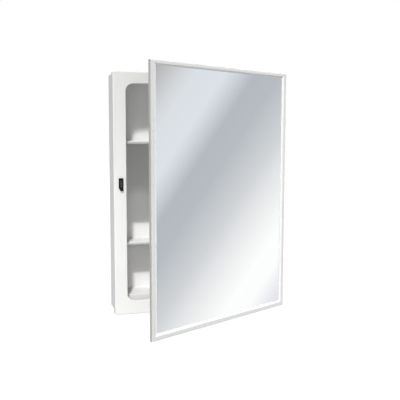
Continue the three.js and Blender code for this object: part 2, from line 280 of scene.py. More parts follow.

# %% [markdown]
# ## White enamel
#
# The box is steel sprayed with white enamel and baked. Seen close, baked enamel isn't
# flat: it has a very fine pebble called orange peel, about a millimetre across, on top of
# a slow waviness of the sheet. Seen far, those only soften the reflections. The colour
# wanders by a hundredth, a trace warmer where the coat is thin. An image of paint would
# tile, so the pattern is noise in the object's own coordinates, which rides with the part.
# The door frame's coat is a little greyer than the box's. Its bevels carry a painted highlight,
# near white, where the mesh carries a value named "bevel" that the material reads.

# %% Enamel
def new_material(name):
    """An empty node material with its shader and output, ready for wiring."""
    material = bpy.data.materials.new(name)
    material.use_nodes = True
    nodes, links = material.node_tree.nodes, material.node_tree.links
    shader = nodes["Principled BSDF"]
    place = nodes.new("ShaderNodeTexCoord").outputs["Object"]
    return material, nodes, links, shader, place


def noise(nodes, links, place, scale, detail=2.0, roughness=0.5):
    """Smooth random bumps, scale of them to the metre, read at the object's own place."""
    node = nodes.new("ShaderNodeTexNoise")
    node.inputs["Scale"].default_value = scale
    node.inputs["Detail"].default_value = detail
    node.inputs["Roughness"].default_value = roughness
    links.new(place, node.inputs["Vector"])
    return node.outputs["Fac"]


def ramp(nodes, links, value, stops):
    """A value turned into a colour by stops of (position, colour)."""
    node = nodes.new("ShaderNodeValToRGB")
    while len(node.color_ramp.elements) < len(stops):
        node.color_ramp.elements.new(0.5)
    for element, (position, colour) in zip(node.color_ramp.elements, stops):
        element.position = position
        element.color = (*colour, 1.0)
    links.new(value, node.inputs["Fac"])
    return node.outputs["Color"]


def remap(nodes, links, value, before, after=(0.0, 1.0)):
    """A value carried from the span before to the span after, and held at the ends."""
    node = nodes.new("ShaderNodeMapRange")
    for name, end in zip(("From Min", "From Max", "To Min", "To Max"), (*before, *after)):
        node.inputs[name].default_value = end
    links.new(value, node.inputs["Value"])
    return node


def between(nodes, links, value, low, high):
    """A noise value, mostly 0.3 to 0.7, stretched to run from low to high."""
    return remap(nodes, links, value, (0.3, 0.7), (low, high)).outputs["Result"]


def bump(nodes, links, height, depth, below=None):
    """A bump of the given depth in metres, over another bump if there is one."""
    node = nodes.new("ShaderNodeBump")
    node.inputs["Strength"].default_value = 1.0
    node.inputs["Distance"].default_value = depth
    links.new(height, node.inputs["Height"])
    if below is not None:
        links.new(below, node.inputs["Normal"])
    return node.outputs["Normal"]


def colour_socket(sockets, name):
    """The colour socket of this name on a Mix node, which has one of each kind."""
    return next(s for s in sockets if s.name == name and s.type == "RGBA")


WAVE_SCALE = 14
WAVE_DEPTH = 0.1 * MM


def enamel(name, thin, full, peel, peel_depth, sheen, painted_bevel_highlight=None):
    """Baked enamel: two near colours, slow waves, fine orange peel and a clear top gloss.

    With a painted bevel highlight colour, the colour goes over to that painted highlight where the
    mesh's "bevel" value is 1."""
    material, nodes, links, shader, place = new_material(name)
    cloud = noise(nodes, links, place, 9, detail=3)
    colour = ramp(nodes, links, cloud, [(0.35, thin), (0.65, full)])
    # painted highlight: near white wherever the mesh's bevel value is 1
    if painted_bevel_highlight:
        where = nodes.new("ShaderNodeAttribute")
        where.attribute_name = "bevel"
        blend = nodes.new("ShaderNodeMix")
        blend.data_type = "RGBA"
        colour_socket(blend.inputs, "B").default_value = (*painted_bevel_highlight, 1.0)
        links.new(where.outputs["Fac"], blend.inputs["Factor"])
        links.new(colour, colour_socket(blend.inputs, "A"))
        colour = colour_socket(blend.outputs, "Result")
    links.new(colour, shader.inputs["Base Color"])
    patch = noise(nodes, links, place, 60, detail=4)
    sheens = between(nodes, links, patch, sheen - 0.05, sheen + 0.05)
    links.new(sheens, shader.inputs["Roughness"])
    wave = bump(nodes, links, noise(nodes, links, place, WAVE_SCALE, detail=1), WAVE_DEPTH)
    pebble = bump(nodes, links, noise(nodes, links, place, peel, detail=2), peel_depth, wave)
    links.new(pebble, shader.inputs["Normal"])
    shader.inputs["Specular IOR Level"].default_value = 0.5
    shader.inputs["Coat Weight"].default_value = 0.25
    shader.inputs["Coat Roughness"].default_value = 0.12
    return material


MICRON = 0.001 * MM
FINISH = {
    "white_enamel": enamel("white_enamel", (0.83, 0.825, 0.81), (0.86, 0.86, 0.855),
                           peel=850, peel_depth=4 * MICRON, sheen=0.42),
    # the frame's bevels get a near-white painted highlight
    "frame_enamel": enamel("frame_enamel", (0.72, 0.72, 0.70), (0.74, 0.74, 0.725),
                           peel=1100, peel_depth=3 * MICRON, sheen=0.30,
                           painted_bevel_highlight=(0.95, 0.95, 0.95)),
}
print("enamels:", sorted(FINISH))

# %% [markdown]
# ## Mirror
#
# A bathroom mirror is float glass, silvered on its back. What the eye gets is nearly all
# the silver, tinted by the glass, with a faint second reflection from the glass's front.
# A metal with no grain under a clear coat gives both. Float glass is very flat but not
# perfectly, so a long shallow ripple, a few hundredths of a millimetre over a hand's
# width, keeps straight reflections from looking drawn with a ruler.

# %% Mirror finish
def silvered_glass(name):
    """Silver behind glass: bright metal, a trace of green-blue, long shallow ripples."""
    material, nodes, links, shader, place = new_material(name)
    tint = noise(nodes, links, place, 3, detail=1)
    stops = [(0.3, (0.955, 0.965, 0.965)), (0.7, (0.965, 0.972, 0.975))]
    links.new(ramp(nodes, links, tint, stops), shader.inputs["Base Color"])
    haze = noise(nodes, links, place, 240, detail=3)
    links.new(between(nodes, links, haze, 0.004, 0.012), shader.inputs["Roughness"])
    ripple = bump(nodes, links, noise(nodes, links, place, 7, detail=1), 30 * MICRON)
    links.new(ripple, shader.inputs["Normal"])
    shader.inputs["Metallic"].default_value = 1.0
    shader.inputs["Coat Weight"].default_value = 0.5
    shader.inputs["Coat Roughness"].default_value = 0.0
    return material


FINISH["mirror_silver"] = silvered_glass("mirror_silver")
print("mirror ready")

# %% [markdown]
# ## The small parts' finishes
#
# Zinc plate is a thin bright coat over drawn steel, so it keeps the steel's grain: noise
# stretched along the length. Moulded plastic takes a fine spark-eroded texture from its
# tool. The magnet and its poles are dark and speckled, rubber is dull with a faint bloom,
# and the board behind the glass shows its fibres.

# %% Small finishes
def stretched(nodes, links, place, scale):
    """Object coordinates pulled out along an axis, so that noise becomes a grain."""
    node = nodes.new("ShaderNodeMapping")
    node.inputs["Scale"].default_value = scale
    links.new(place, node.inputs["Vector"])
    return node.outputs["Vector"]


def zinc(name):
    """Bright zinc on drawn steel: upright grain in the colour, gloss and surface."""
    material, nodes, links, shader, place = new_material(name)
    grain = noise(nodes, links, stretched(nodes, links, place, (1, 1, 0.03)), 1500, detail=3)
    stops = [(0.3, (0.52, 0.53, 0.54)), (0.7, (0.70, 0.71, 0.71))]
    links.new(ramp(nodes, links, grain, stops), shader.inputs["Base Color"])
    links.new(between(nodes, links, grain, 0.24, 0.40), shader.inputs["Roughness"])
    links.new(bump(nodes, links, grain, 10 * MICRON), shader.inputs["Normal"])
    shader.inputs["Metallic"].default_value = 1.0
    return material


def dull(name, dark, light, grain_scale, depth, low, high, gloss=0.5):
    """A dull finish: speckle between two colours, roughness from low to high, and the same
    speckle in relief by depth. A gloss under 0.5 reflects less than bare plastic does."""
    material, nodes, links, shader, place = new_material(name)
    speckle = noise(nodes, links, place, grain_scale, detail=4, roughness=0.65)
    tones = ramp(nodes, links, speckle, [(0.35, dark), (0.65, light)])
    links.new(tones, shader.inputs["Base Color"])
    links.new(between(nodes, links, speckle, low, high), shader.inputs["Roughness"])
    links.new(bump(nodes, links, speckle, depth), shader.inputs["Normal"])
    shader.inputs["Specular IOR Level"].default_value = gloss
    return material


FINISH["zinc_plate"] = zinc("zinc_plate")
FINISH["black_plastic"] = dull("black_plastic", (0.004, 0.0045, 0.005), (0.009, 0.010, 0.011),
                               2600, 10 * MICRON, 0.42, 0.55, gloss=0.15)
FINISH["dark_iron"] = dull("dark_iron", (0.022, 0.023, 0.025), (0.055, 0.057, 0.060),
                           1900, 20 * MICRON, 0.45, 0.65)
FINISH["bumper_rubber"] = dull("bumper_rubber", (0.60, 0.60, 0.58), (0.68, 0.68, 0.66),
                               900, 30 * MICRON, 0.70, 0.85)
FINISH["backing_board"] = dull("backing_board", (0.42, 0.35, 0.25), (0.58, 0.50, 0.38),
                               420, 50 * MICRON, 0.85, 0.95)
print(len(FINISH), "finishes")

# %% [markdown]
# ## Closed paths and lofts
#
# The pan, the box, the tray and the plates are all *lofts*: closed outlines in the plane
# of the wall, stacked at different depths and joined. A `Path` is a rectangle with round
# corners, and can give itself back moved inwards by any amount. Two paths have the same
# number of points in the same order, so the big outer rectangle of the pan can be joined
# straight across to the small one round its opening, whatever their corner radii are.

# %% Paths and lofts
class Path:
    """A rectangle with round corners: points and inward normals, anticlockwise."""

    def __init__(self, low, high, radius, steps=8):
        quarter = np.linspace(0, math.pi / 2, steps + 1)
        angle = np.concatenate([quarter + k * math.pi / 2 for k in range(4)])
        near_x, far_x = low[0] + radius, high[0] - radius
        near_z, far_z = low[1] + radius, high[1] - radius
        centre_x = np.repeat([far_x, near_x, near_x, far_x], steps + 1)
        centre_z = np.repeat([far_z, far_z, near_z, near_z], steps + 1)
        out = np.stack([np.cos(angle), np.sin(angle)], axis=1)
        self.points = np.stack([centre_x, centre_z], axis=1) + radius * out
        self.inward = -out

    def at(self, inset, y):
        """The path moved inwards by inset, at depth y, as (n, 3) points."""
        flat = self.points + inset * self.inward
        return np.stack([flat[:, 0], np.full(len(flat), y), flat[:, 1]], axis=1)


def loft(rows, closed):
    """Points and faces of stacked closed paths. A closed stack joins its last row to its
    first, as a ring of sheet does; an open one gets a flat cap at both ends."""
    count, around = len(rows), len(rows[0])
    faces = [tuple(f) for f in grid_faces(count, around, closed, True)]
    if not closed:
        faces.append(tuple(range(around)))
        faces.append(tuple((count - 1) * around + np.arange(around)))
    return np.vstack(rows), faces


def rows_of(path, line):
    """One row for each point of a line whose two values are the inset and the depth."""
    return [path.at(inset, y) for inset, y in line]


def plate(name, low, high, body, slot, corner, edge, replaces, swung=False):
    """A flat plate in the plane of the door: its rim is rounded front and back by edge."""
    path = Path((low.x, low.z), (high.x, high.z), corner, steps=6)
    depth = high.y - low.y
    face = 2.2 * edge
    rim = fillet([[face, 0], [0, 0], [0, depth], [face, depth]], edge, steps=3, guard=0.2)
    points, faces = loft(rows_of(path, rim + [0, low.y]), closed=False)
    return make_piece(name, points, faces, body, slot, replaces, swung)


print("a path has", len(Path((0, 0), (1, 1), 0.1).points), "points")

# %% [markdown]
# ## The front pan
#
# The pan is pressed from one sheet. Its outer edge is folded back 21 mm round all four
# sides, and the edge of the opening is turned in, so no cut edge meets the hand. The whole
# section is one ring: in along the rear lip, forward up the outer wall, round the bend,
# across the face, round the soft bend of the opening, back along the turned-in edge, and
# home again one sheet thickness further in. Its rows hang on three different paths, which
# is why each row names the one it follows.

# %% Front pan
SHEET = 1.0 * MM
wrap_low, wrap_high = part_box("body_wrapper")
OPENING_RADIUS = 18 * MM
STILE, TOP_RAIL, BOTTOM_RAIL = 29 * MM, 26.2 * MM, 31.4 * MM
OPENING_RETURN = 8 * MM
front, pan_rear = pan_low.y, pan_high.y
FIT = 0.3 * MM

outer = Path((pan_low.x, pan_low.z), (pan_high.x, pan_high.z), 3.0 * MM)
box_edge = Path((wrap_low.x - FIT, wrap_low.z - FIT),
                (wrap_high.x + FIT, wrap_high.z + FIT), 1.9 * MM)
opening = Path((pan_low.x + STILE, pan_low.z + BOTTOM_RAIL),
               (pan_high.x - STILE, pan_high.z - TOP_RAIL), OPENING_RADIUS)


def pan_rows(skin):
    """Rows of one skin of the pan, skin being its depth inside the outer surface.

    Each line starts or ends with a point that only gives a bend its direction, on the rear
    lip or on the face, and that point is dropped once the bend is made."""
    bend, lip_bend, mouth_bend = 2.0 * MM, 1.2 * MM, 1.6 * MM
    on_lip, on_face = 1.55 * MM, 4.0 * MM
    lip = [box_edge.at(0, pan_rear - skin)]
    wall = fillet([[on_lip, pan_rear - skin], [skin, pan_rear - skin],
                   [skin, front + skin], [on_face, front + skin]],
                  [0, lip_bend - skin, bend - skin, 0], guard=0.3)[1:-1]
    mouth = fillet([[-on_face, front + skin], [-skin, front + skin],
                    [-skin, front + OPENING_RETURN]], mouth_bend - skin, guard=0.3)[1:]
    return lip + rows_of(outer, wall) + rows_of(opening, mouth)


pan_points, pan_faces = loft(pan_rows(0.0) + pan_rows(SHEET)[::-1], closed=True)
front_pan = sharpen(make_piece("front_pan_folded", pan_points, pan_faces,
                               "cabinet", "white_enamel", ["front_pan"]))
print("front pan:", len(front_pan.data.polygons), "faces")

# %% [markdown]
# ## The box and its back
#
# The four walls of the box are one strip folded round four tight corners, with a narrow
# flange turned in at the front for the welds. The back is a shallow tray that slips inside
# the walls, so its folded edge shows from behind as a fine line just inside theirs. Its
# four screw holes are cut with a Boolean, the plain way to put a round hole through a
# finished sheet.

# %% Box walls
box_path = Path((wrap_low.x, wrap_low.z), (wrap_high.x, wrap_high.z), 2.0 * MM)
FLANGE = 6 * MM
flange_edge = Path((wrap_low.x + FLANGE, wrap_low.z + FLANGE),
                   (wrap_high.x - FLANGE, wrap_high.z - FLANGE), 1.0 * MM)


def box_rows(skin):
    """Rows of one skin of the box: flange edge, front bend, wall, rear edge."""
    bend, on_flange = 1.4 * MM, 3.0 * MM
    line = fillet([[on_flange, wrap_low.y + skin], [skin, wrap_low.y + skin],
                   [skin, wrap_high.y]], bend - skin, guard=0.3)[1:]
    return [flange_edge.at(0, wrap_low.y + skin)] + rows_of(box_path, line)


box_points, box_faces = loft(box_rows(0.0) + box_rows(SHEET)[::-1], closed=True)
box_walls = sharpen(make_piece("box_walls_folded", box_points, box_faces,
                               "cabinet", "white_enamel", ["body_wrapper"]))
print("box walls:", len(box_walls.data.polygons), "faces")

# %% Back tray
tray_low, tray_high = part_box("back_panel")
tray_path = Path((tray_low.x, tray_low.z), (tray_high.x, tray_high.z), 2.0 * MM)
TRAY_BEND = 1.3 * MM
TRAY_FLAT = 6 * MM  # from the tray's side to where its flat back begins
tray_flat = Path((tray_low.x + TRAY_FLAT, tray_low.z + TRAY_FLAT),
                 (tray_high.x - TRAY_FLAT, tray_high.z - TRAY_FLAT), 1.0 * MM)
SCREW_HOLE_RADIUS = 3.25 * MM
SCREW_HOLE_X, SCREW_HOLE_Z = 172 * MM, 235 * MM


def tray_rows(skin):
    """Rows of one skin of the tray: from the flange's front edge round to the flat back."""
    line = fillet([[skin, tray_low.y], [skin, tray_high.y - skin],
                   [TRAY_FLAT, tray_high.y - skin]], TRAY_BEND - skin, guard=0.3)[:-1]
    return rows_of(tray_path, line) + [tray_flat.at(0, tray_high.y - skin)]


tray_points, tray_faces = loft(tray_rows(0.0)[::-1] + tray_rows(SHEET), closed=False)
back_tray = make_piece("back_tray_folded", tray_points, tray_faces,
                       "cabinet", "white_enamel", ["back_panel"])


def round_bar(name, radius, centre, half_length, sides=32):
    """A plain cutting bar along Y: two rings of points joined, with flat ends."""
    angle = np.arange(sides) * 2 * math.pi / sides
    ring = np.stack([radius * np.cos(angle), np.zeros(sides), radius * np.sin(angle)], axis=1)
    rows = [ring + centre + [0, side * half_length, 0] for side in (-1, 1)]
    points, faces = loft(rows, closed=False)
    mesh = bpy.data.meshes.new(name)
    mesh.from_pydata(points.tolist(), [], [list(map(int, f)) for f in faces])
    bar = bpy.data.objects.new(name, mesh)
    bpy.context.scene.collection.objects.link(bar)
    return bar


def cut(piece, cutters):
    """The piece with the cutters taken out of its mesh. The cutters are removed."""
    for cutter in cutters:
        shell = bmesh.new()
        shell.from_mesh(cutter.data)
        bmesh.ops.recalc_face_normals(shell, faces=shell.faces)
        shell.to_mesh(cutter.data)
        shell.free()
        boolean = piece.modifiers.new("cut", "BOOLEAN")
        boolean.operation = "DIFFERENCE"
        boolean.solver = "EXACT"
        boolean.object = cutter
    graph = bpy.context.evaluated_depsgraph_get()
    result = bpy.data.meshes.new_from_object(piece.evaluated_get(graph))
    piece.modifiers.clear()
    piece.data = result
    for cutter in cutters:
        bpy.data.objects.remove(cutter)
    return piece


holes = []
for side in (-1, 1):
    for end in (-1, 1):
        centre = [side * SCREW_HOLE_X, tray_high.y, end * SCREW_HOLE_Z]
        holes.append(round_bar(f"hole_{len(holes)}", SCREW_HOLE_RADIUS, centre, 4 * MM))
sharpen(cut(back_tray, holes))
print("back tray:", len(back_tray.data.polygons), "faces, four holes")

# %% [markdown]
# ## Shelves
#
# A shelf is a strip of sheet with its front edge folded down, which stiffens it, and its
# rear edge folded up, which keeps bottles off the back. The two upper shelves' front edges
# are folded a little past square, so they look darker than the face. The lowest one's is
# deep and square, and closes the gap down to the opening's edge. `carry` takes the ring of
# a bent sheet and moves it along a straight line, and the two ends are
# closed with a strip of quads between the sheet's two skins.

# %% Carrying a section along a line
def carry(ring, frames):
    """Points and faces of a closed sheet ring carried through frames.

    A frame is (origin, u, v): a ring point (a, b) lands at origin + a * u + b * v. The
    ends are capped by quads that join each skin point to its partner on the other skin."""
    rows = [np.array(o) + ring[:, :1] * np.array(u) + ring[:, 1:] * np.array(v)
            for o, u, v in frames]
    count, around = len(rows), len(ring)
    faces = [tuple(f) for f in grid_faces(count, around, False, True)]
    k = np.arange(around // 2 - 1)
    cap = np.stack([k, k + 1, around - 2 - k, around - 1 - k], axis=1)
    faces += [tuple(f) for f in cap] + [tuple(f) for f in cap + (count - 1) * around]
    return np.vstack(rows), faces


SHELF_SHEET = 0.9 * MM
UPSTAND = 12 * MM
LIP_TUCK = 2.8 * MM  # how far the upper lips' lower edges lean back
for level, tuck in (("upper", LIP_TUCK), ("middle", LIP_TUCK), ("lower", 0.0)):
    low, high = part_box(f"{level}_shelf")
    deck = high.z - UPSTAND
    section = fillet([[low.y + tuck, low.z], [low.y, deck], [high.y, deck], [high.y, high.z]],
                     [0, 1.5 * MM, 0.6 * MM, 0])
    ring = sheet_ring(section, -SHELF_SHEET)
    span = np.linspace(low.x, high.x, 9)
    points, faces = carry(ring, [((x, 0, 0), (0, 1, 0), (0, 0, 1)) for x in span])
    sharpen(make_piece(f"{level}_shelf_folded", points, faces, "cabinet", "white_enamel",
                       [f"{level}_shelf"]))
    print(level, "shelf at", round(deck / MM), "mm")

# %% Shelf brackets
for level in ("upper", "middle", "lower"):
    for side, sign in (("left", -1), ("right", 1)):
        node = f"{level}_shelf_bracket_{side}"
        low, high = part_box(node)
        wall_x, toe_x = (low.x, high.x) if sign < 0 else (high.x, low.x)
        section = fillet([[toe_x, high.z], [wall_x, high.z], [wall_x, low.z]], 1.6 * MM)
        ring = sheet_ring(section, -sign * SHEET)
        span = [low.y, (low.y + high.y) / 2, high.y]
        points, faces = carry(ring, [((0, y, 0), (1, 0, 0), (0, 0, 1)) for y in span])
        sharpen(make_piece(f"{node}_folded", points, faces, "cabinet", "white_enamel", [node]))
print("six brackets")

# %% [markdown]
# ## The magnetic catch
#
# The catch is one black moulding that snaps into a slot in the left stile. Its head has
# one corner cut off at a slant and rounded edges, and in its front is a pocket where two
# iron poles stand either side of a magnet. It is lofted like a plate, but its rows are
# five-sided outlines, and the stack runs from the rear of the body forward, out over the
# head, over the rounded rim and back down into the pocket.

# %% Catch housing
catch_low, catch_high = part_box("catch_housing")
pole_low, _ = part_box("catch_pole_left")
_, pole_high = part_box("catch_pole_right")


def catch_outline(low_x, high_x, low_z, high_z, slant_x, slant_z, radius, y):
    """A rectangle with its lower left corner cut by a slant, corners rounded, at depth y."""
    flat = fillet([[low_x + slant_x, low_z], [high_x, low_z], [high_x, high_z],
                   [low_x, high_z], [low_x, low_z + slant_z]], radius, steps=4, closed=True)
    return np.stack([flat[:, 0], np.full(len(flat), y), flat[:, 1]], axis=1)


def catch_row(inset, y, radius=1.0 * MM):
    """The head's outline drawn in by inset on every side."""
    return catch_outline(catch_low.x + inset, catch_high.x - inset, catch_low.z + inset,
                         catch_high.z - inset, 4.5 * MM - inset * 0.6, 7 * MM - inset * 0.4,
                         radius, y)


def pocket_row(grow, y):
    """The pocket's outline, grown by grow on every side."""
    reach = FIT + grow
    return catch_outline(pole_low.x - reach, pole_high.x + reach, pole_low.z - reach,
                         pole_high.z + reach, 0.5 * MM, 0.5 * MM, 0.18 * MM, y)


neck = 0.6 * MM
head_back = front - FIT
body_box = (catch_low.x + neck, catch_high.x - neck, catch_low.z + 7 * MM, catch_high.z - 2 * MM)
rim = fillet([[0, head_back], [0, catch_low.y], [1.9 * MM, catch_low.y]], 0.8 * MM, steps=4)
pocket_floor = pole_high.y + FIT
catch_rows = [
    catch_outline(*body_box, 0.8 * MM, 0.8 * MM, 0.3 * MM, catch_high.y),
    catch_outline(*body_box, 0.8 * MM, 0.8 * MM, 0.3 * MM, head_back),
    *[catch_row(inset, y) for inset, y in rim[:-1]],
    pocket_row(0.35 * MM, catch_low.y),
    pocket_row(0.1 * MM, catch_low.y + 0.1 * MM),
    pocket_row(0.0, catch_low.y + 0.4 * MM),
    pocket_row(0.0, pocket_floor),
]
catch_points, catch_faces = loft(catch_rows, closed=False)
sharpen(make_piece("catch_moulding", catch_points, catch_faces, "cabinet", "black_plastic",
                   ["catch_housing"]), 50)

for node in ("catch_pole_left", "catch_pole_right", "catch_magnet"):
    low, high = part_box(node)
    sharpen(plate(f"{node}_block", low, high, "cabinet", "dark_iron",
                  0.25 * MM, 0.15 * MM, [node]))
print("catch: one moulding, two poles, one magnet")

# %% [markdown]
# ## The continuous hinge
#
# A continuous hinge is two strips whose edges are cut into fingers and rolled round one
# long pin, turn and turn about. Unrolled, a leaf is a flat grid: across it runs the
# distance along the steel, and up it runs the height. Rolling maps the distance past the
# strip's edge onto an arc about the pin. The other leaf's fingers need room, so the grid
# simply leaves out its rolled part there, and Solidify gives what is left its thickness.

# %% Hinge leaves
LEAF_SHEET = 0.9 * MM
ROLL_RADIUS = 1.72 * MM  # of the middle of the steel
ROLL_TURN = math.radians(288)
ROLL_COLUMNS = 26
leaf_low, leaf_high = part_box("hinge_leaf_body")
KNUCKLES = 25
knuckle_pitch = (leaf_high.z - leaf_low.z) / KNUCKLES
strip_width = PIN[0] - leaf_low.x


def hinge_leaf(name, node, first, side, swung):
    """One leaf. side is 1 for the leaf on the pan and -1 for the leaf on the door.

    For a distance s from the strip's free edge, the strip is straight at one roll radius
    from the pin's centre line, and beyond it s turns into an angle of s over the radius."""
    arc = ROLL_RADIUS * ROLL_TURN
    strip_end = strip_width - ROLL_RADIUS - LEAF_SHEET
    plain = np.concatenate([[0, 0.5 * MM], np.linspace(2 * MM, strip_end, 4)])
    roll = strip_width + np.linspace(0, arc, ROLL_COLUMNS)
    s = np.concatenate([plain, [strip_width - 0.3 * MM], roll])
    turn = np.clip((s - strip_width) / ROLL_RADIUS, 0, None)
    x = PIN[0] + np.where(s < strip_width, s - strip_width, ROLL_RADIUS * np.sin(turn))
    y = PIN[1] + side * ROLL_RADIUS * np.cos(turn)
    edges = leaf_low.z + knuckle_pitch * np.arange(KNUCKLES + 1)
    inner = edges[1:-1]
    z = np.sort(np.concatenate([edges[:1], inner - FIT / 2, inner + FIT / 2, edges[-1:]]))
    points = np.stack([np.tile(x, len(z)), np.tile(y, len(z)), np.repeat(z, len(s))], axis=1)
    quads = grid_faces(len(z), len(s), False, False).reshape(len(z) - 1, len(s) - 1, 4)
    finger = np.arange(len(z) - 1)
    rolled = (finger % 2 == 0) & (finger // 2 % 2 == first)
    keep = rolled[:, None] | (np.arange(len(s) - 1) < len(plain) - 1)[None, :]
    piece = make_piece(name, points, quads[keep], "door" if swung else "cabinet",
                       "white_enamel", [node], swung)
    unused = bmesh.new()
    unused.from_mesh(piece.data)
    bmesh.ops.delete(unused, geom=[v for v in unused.verts if not v.link_faces], context="VERTS")
    unused.to_mesh(piece.data)
    unused.free()
    solid = piece.modifiers.new("steel", "SOLIDIFY")
    solid.thickness = LEAF_SHEET
    solid.offset = 0.0
    return piece


hinge_leaf("hinge_leaf_on_pan", "hinge_leaf_body", 0, 1, False)
hinge_leaf("hinge_leaf_on_door", "hinge_leaf_door", 1, -1, True)
print(KNUCKLES, "knuckles,", round(knuckle_pitch / MM, 1), "mm each")

# %% Hinge pin
def turned(name, profile, axis_point, body, slot, replaces, upright=True, sides=32, swung=False):
    """A lathe shape: each (radius, distance) of the profile becomes a ring about the axis.

    Upright shapes turn about Z and the others about Y. The ends are small flat caps."""
    angle = np.arange(sides) * 2 * math.pi / sides
    rows = []
    for radius, along in profile:
        ring = np.zeros((sides, 3))
        ring[:, 0] = radius * np.cos(angle)
        ring[:, 1 if upright else 2] = radius * np.sin(angle)
        ring[:, 2 if upright else 1] = along
        rows.append(ring + np.asarray(axis_point, float))
    points, faces = loft(rows, closed=False)
    return sharpen(make_piece(name, points, faces, body, slot, replaces, swung), 50)


pin_low, pin_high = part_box("hinge_pin")
pin_radius = (pin_high.x - pin_low.x) / 2
pin_half = (pin_high.z - pin_low.z) / 2
dome = fillet([[0.1 * MM, pin_half], [pin_radius, pin_half], [pin_radius, pin_half - 3 * MM]],
              0.6 * MM, steps=4)
pin_profile = np.vstack([dome, (dome * [1, -1])[::-1]])
turned("hinge_pin_round", pin_profile, (PIN[0], PIN[1], 0), "cabinet", "zinc_plate", ["hinge_pin"])
print("pin", round(2 * pin_half / MM), "mm long")

# %% [markdown]
# ## The door's frame
#
# Each rail of the frame is a folded channel: a flat face that breaks into a bevel towards
# the glass, a rounded outer edge, a side, and a flange behind. The four rails meet in
# mitres. A mitre needs no cutting here: at each end of a rail every point of the section
# stops short of the corner in proportion to its own distance from the door's edge, which is
# the same as slanting the end frame. The top rail is narrower than the others, so the slant
# at the top corners is steeper than 45 degrees, and the ratio of the two widths sets it.
# Each rail also carries its "bevel" value for the enamel, 1 on the bevel and 0 elsewhere, where
# the enamel paints a near-white highlight. The top rail's bevel faces down, so it gets no painted
# highlight and stays as grey as its face.

# %% Frame rails
RAIL_SHEET = 0.6 * MM
RAIL_FACES = {"left": 14 * MM, "top": 9 * MM, "right": 14 * MM, "bottom": 14 * MM}
RAIL_FLAT_SHARE = 0.65  # part of the face that is flat, before the bevel
RAIL_BEVEL = 2.0 * MM
RAIL_FLANGE = 9 * MM
MITRE_GAP = 0.12 * MM
BEVEL_HIGHLIGHT_FADE = 0.4 * MM  # across which the painted highlight of the bevel comes in
thickness = door_back - door_front


def rail_ring(face):
    """The folded channel: flange, back bend, side, rounded edge, flat face, bevel."""
    line = fillet([[RAIL_FLANGE, thickness], [0, thickness], [0, 0],
                   [face * RAIL_FLAT_SHARE, 0], [face, RAIL_BEVEL]],
                  [0, 0.9 * MM, 1.6 * MM, 0.8 * MM, 0], steps=6)
    return sheet_ring(line, RAIL_SHEET)


def rail(side, inward, along, half_length, edge, neighbours):
    """One rail: inward points into the door, along runs down the rail, edge is its place.

    At each end a point lies short of the door's corner by its inward value times the
    neighbour's face over this rail's face, which draws the mitre between two widths."""
    inward, along = np.array(inward, float), np.array(along, float)
    back = np.array([0.0, 1.0, 0.0])
    centre = np.array([0.0, door_front, 0.0]) - inward * edge
    face = RAIL_FACES[side]
    frames = []
    for way, neighbour in zip((-1, 1), neighbours):
        end = centre + along * way * (half_length - MITRE_GAP / 2)
        frames.append((end, inward - along * way * RAIL_FACES[neighbour] / face, back))
    points, faces = carry(rail_ring(face), frames)
    piece = make_piece(f"frame_rail_{side}", points, faces, "door", "frame_enamel",
                       [f"door_rail_{side}"], swung=True)
    depth = (points - centre) @ inward
    # painted highlight on the bevels, left off the top rail, whose bevel faces down
    bevel_highlight_share = np.clip((depth - face * RAIL_FLAT_SHARE) / BEVEL_HIGHLIGHT_FADE, 0, 1) * (side != "top")
    piece.data.attributes.new("bevel", "FLOAT", "POINT").data.foreach_set("value", bevel_highlight_share)
    return sharpen(piece)


rail("left", (1, 0, 0), (0, 0, 1), door_half_z, door_half_x, ("bottom", "top"))
rail("right", (-1, 0, 0), (0, 0, 1), door_half_z, door_half_x, ("bottom", "top"))
rail("top", (0, 0, -1), (1, 0, 0), door_half_x, door_half_z, ("left", "right"))
rail("bottom", (0, 0, 1), (1, 0, 0), door_half_x, door_half_z, ("left", "right"))
print("four rails", {side: round(face / MM, 1) for side, face in RAIL_FACES.items()})

# %% [markdown]
# ## Glass, board and steel panel
#
# Behind the frame lie three sheets: the mirror, a thin board that cushions it, and the
# steel panel that closes the door. They are plates with a hair of rounding on the rim, as
# ground glass and sheared steel have. The panel's strike plate and rubber buttons face
# the cabinet.

# %% Door layers
for name, node, slot_name, corner, edge in (
    ("mirror_sheet", "mirror_glass", "mirror_silver", 1.5 * MM, 0.4 * MM),
    ("backing_sheet", "mirror_backing_pad", "backing_board", 1.0 * MM, 0.1 * MM),
    ("door_panel_sheet", "door_back_panel", "white_enamel", 1.0 * MM, 0.15 * MM),
    ("strike_plate_steel", "strike_plate", "zinc_plate", 2.0 * MM, 0.25 * MM),
):
    low, high = shut_box(node)
    sharpen(plate(name, low, high, "door", slot_name, corner, edge, [node], swung=True))
glass_low, glass_high = shut_box("mirror_glass")
print("glass", [round(v / MM, 1) for v in glass_high - glass_low])

# %% Bumpers and corner keys
for level in ("top", "bottom"):
    node = f"door_bumper_{level}"
    low, high = shut_box(node)
    reach, tip = (high.x - low.x) / 2, 3.6 * MM
    line = fillet([[0.1 * MM, low.y], [reach, low.y], [tip, high.y], [0.1 * MM, high.y]],
                  [0, 0.4 * MM, 1.2 * MM, 0], steps=4)
    turned(f"{node}_rubber", line, ((low.x + high.x) / 2, 0, (low.z + high.z) / 2), "door",
           "bumper_rubber", [node], upright=False, swung=True)

